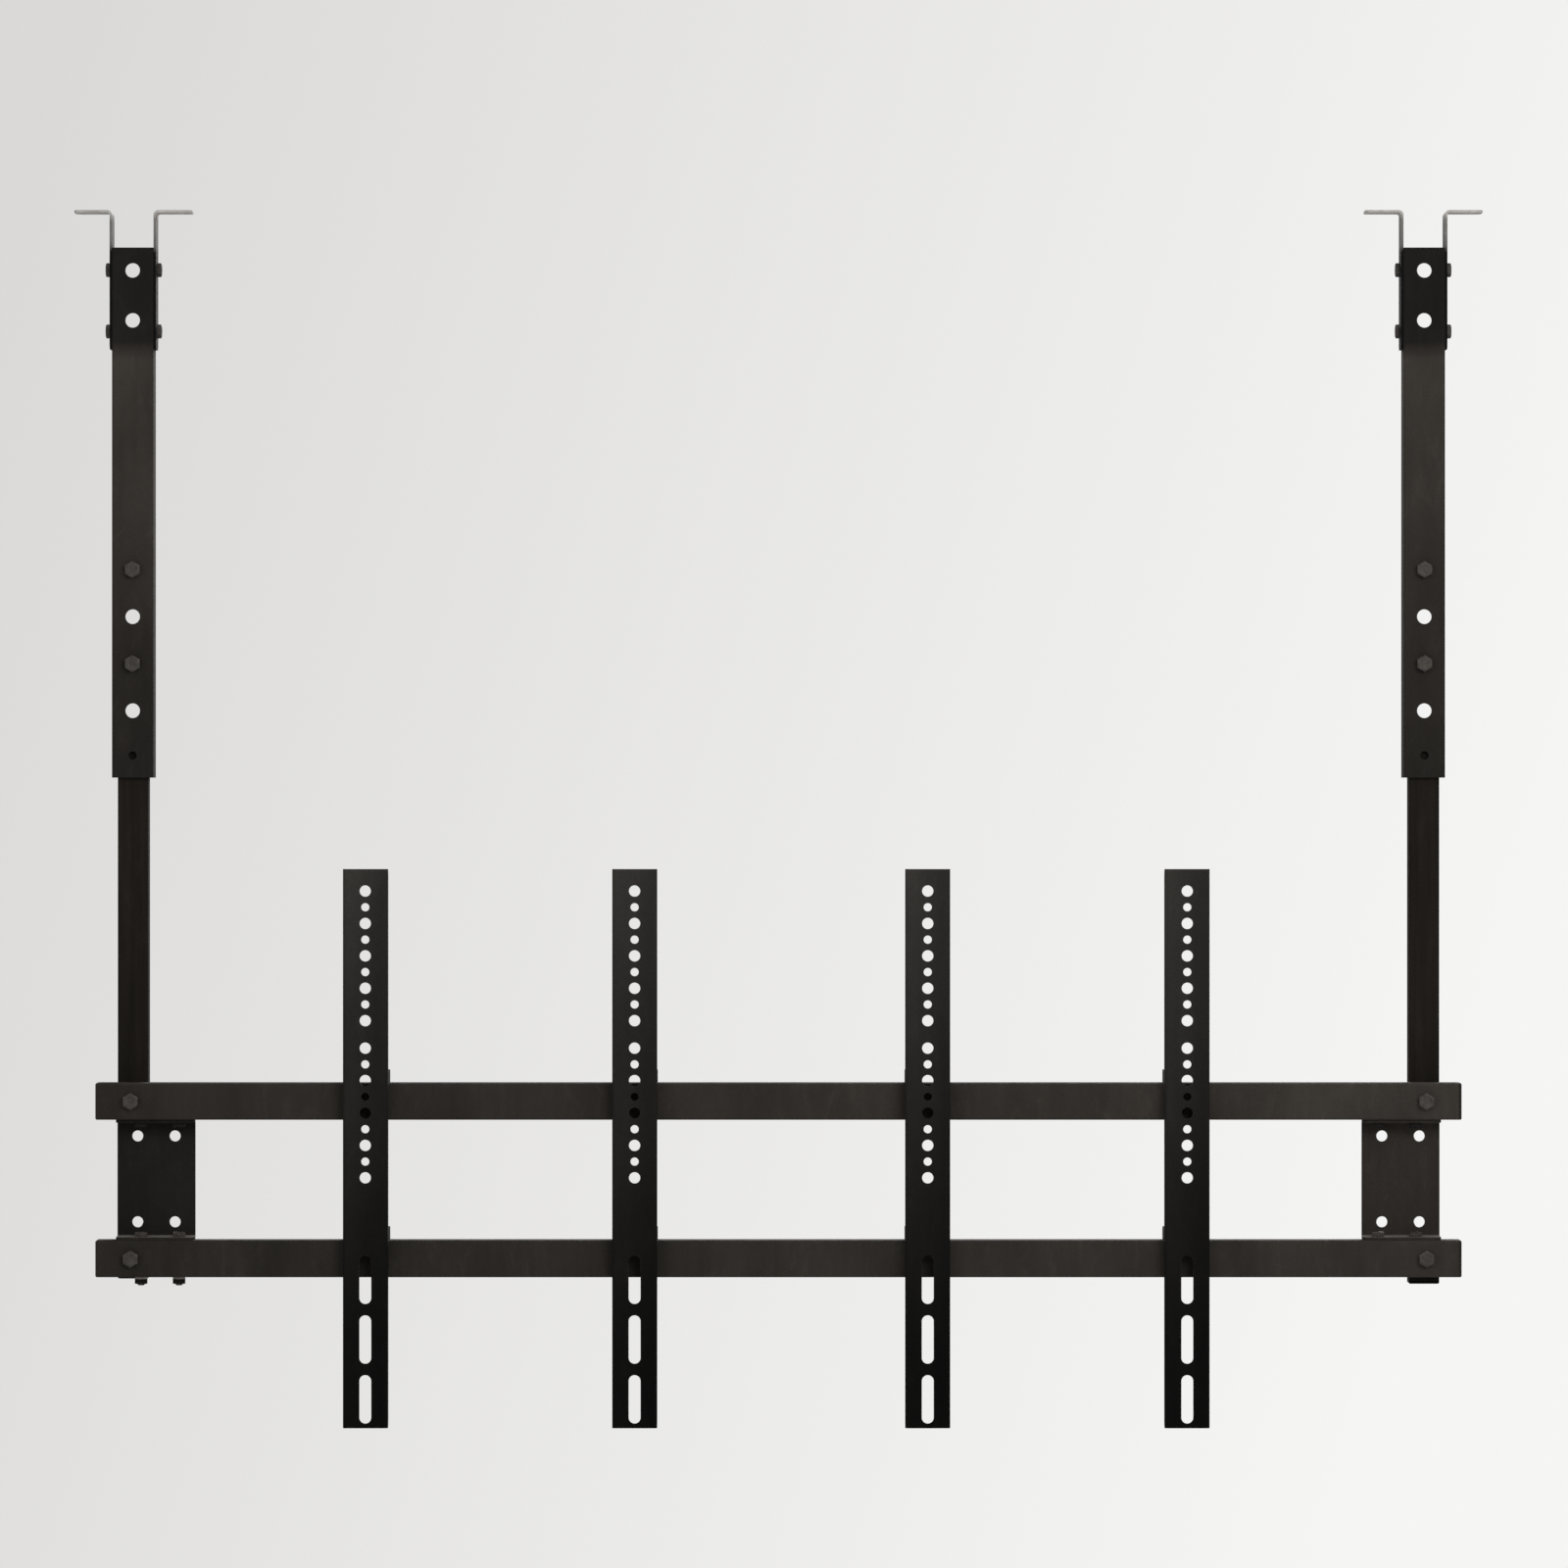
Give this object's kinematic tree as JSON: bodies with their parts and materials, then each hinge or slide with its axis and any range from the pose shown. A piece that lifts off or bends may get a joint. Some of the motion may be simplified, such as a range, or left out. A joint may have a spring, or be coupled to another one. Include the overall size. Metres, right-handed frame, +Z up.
{
  "type": "tv ceiling mount",
  "caption": "Ceiling-hung mount for flat screens: telescopic square-tube drops carry cross rails on which hooked uprights slide.",
  "frame": {"origin": "midway between the two outer ceiling bolts, in the plane of the ceiling", "axes": "+X along the rails to the viewer's right, +Y away from the viewer, +Z up"},
  "size_m": [1.154, 0.0833, 0.9948],
  "materials": {
    "tube_black": "satin powder coat",
    "upright_black": "satin powder coat",
    "plate_black": "satin powder coat",
    "zinc_sheet": "zinc plated, black overspray on the legs",
    "dark_fastener": "blackened",
    "black_plastic": "matt"
  },
  "bodies": {
    "drops": {"left_clamp_bolts": "dark_fastener", "left_clamp_nuts": "dark_fastener", "left_inner_bracket": "zinc_sheet", "left_inner_bracket_bolts": "dark_fastener", "left_inner_weld_nuts": "dark_fastener", "left_outer_bracket": "zinc_sheet", "left_outer_bracket_bolts": "dark_fastener", "left_outer_tube": "tube_black", "left_outer_weld_nuts": "dark_fastener", "right_clamp_bolts": "dark_fastener", "right_clamp_nuts": "dark_fastener", "right_inner_bracket": "zinc_sheet", "right_inner_bracket_bolts": "dark_fastener", "right_inner_weld_nuts": "dark_fastener", "right_outer_bracket": "zinc_sheet", "right_outer_bracket_bolts": "dark_fastener", "right_outer_tube": "tube_black", "right_outer_weld_nuts": "dark_fastener"},
    "carriage": {"left_end_plate": "plate_black", "left_inner_tube": "tube_black", "left_plate_lower_bolts": "dark_fastener", "left_plate_lower_nuts": "dark_fastener", "left_plate_upper_bolts": "dark_fastener", "left_plate_upper_nuts": "dark_fastener", "left_rail_bolts": "dark_fastener", "left_rail_nuts": "dark_fastener", "left_tube_plug": "black_plastic", "lower_rail": "tube_black", "lower_rail_left_plug": "black_plastic", "lower_rail_right_plug": "black_plastic", "right_end_plate": "plate_black", "right_inner_tube": "tube_black", "right_plate_lower_bolts": "dark_fastener", "right_plate_lower_nuts": "dark_fastener", "right_plate_upper_bolts": "dark_fastener", "right_plate_upper_nuts": "dark_fastener", "right_rail_bolts": "dark_fastener", "right_rail_nuts": "dark_fastener", "right_tube_plug": "black_plastic", "upper_rail": "tube_black", "upper_rail_left_plug": "black_plastic", "upper_rail_right_plug": "black_plastic"},
    "left_outer_upright_arm": {"left_outer_upright": "upright_black"},
    "left_inner_upright_arm": {"left_inner_upright": "upright_black"},
    "right_inner_upright_arm": {"right_inner_upright": "upright_black"},
    "right_outer_upright_arm": {"right_outer_upright": "upright_black"}
  },
  "joints": [
    {"name": "height_slide", "type": "slide", "parent": "drops", "child": "carriage", "axis": [0, 0, 1], "range_m": [-0.105, 0.055]},
    {"name": "left_outer_upright_slide", "type": "slide", "parent": "carriage", "child": "left_outer_upright_arm", "axis": [1, 0, 0], "range_m": [-0.118, 0.093]},
    {"name": "left_inner_upright_slide", "type": "slide", "parent": "carriage", "child": "left_inner_upright_arm", "axis": [1, 0, 0], "range_m": [-0.084, 0.095]},
    {"name": "right_inner_upright_slide", "type": "slide", "parent": "carriage", "child": "right_inner_upright_arm", "axis": [1, 0, 0], "range_m": [-0.102, 0.077]},
    {"name": "right_outer_upright_slide", "type": "slide", "parent": "carriage", "child": "right_outer_upright_arm", "axis": [1, 0, 0], "range_m": [-0.093, 0.118]}
  ]
}
